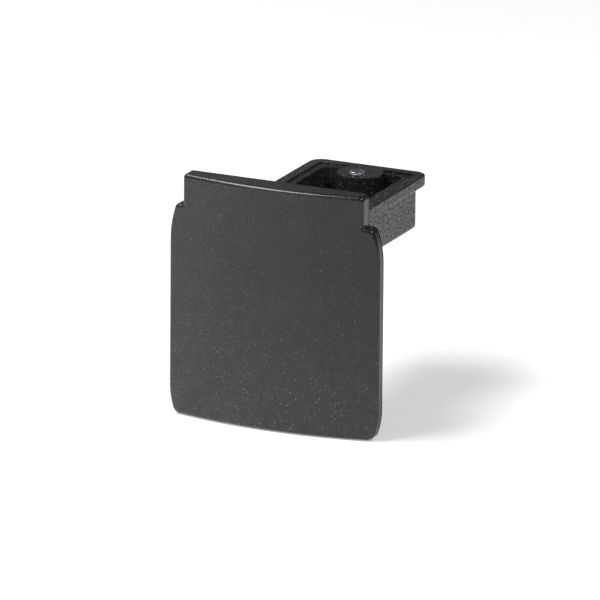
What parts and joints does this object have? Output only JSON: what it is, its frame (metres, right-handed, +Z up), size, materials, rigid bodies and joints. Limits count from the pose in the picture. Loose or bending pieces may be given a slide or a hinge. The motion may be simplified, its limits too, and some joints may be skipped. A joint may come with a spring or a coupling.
{
  "type": "profile end cap",
  "caption": "End cap for a slotted metal profile: a crowned, stepped cover plate with a T-shaped tongue behind it and a socket set screw that clamps the tongue in the slot.",
  "frame": {"origin": "on the flat back of the cover plate, on the plane of symmetry, at the middle of the plate's height", "axes": "+Y runs along the tongue into the profile, square to the plate's back; +Z is up, towards the stepped edge; +X is to the right of somebody who looks at the front"},
  "size_m": [0.0548, 0.0599, 0.06],
  "materials": {
    "coated_casting": "satin",
    "screw_steel": "bright"
  },
  "bodies": {
    "root": {"cap_body": "coated_casting", "clamp_screw": "screw_steel"}
  },
  "joints": []
}
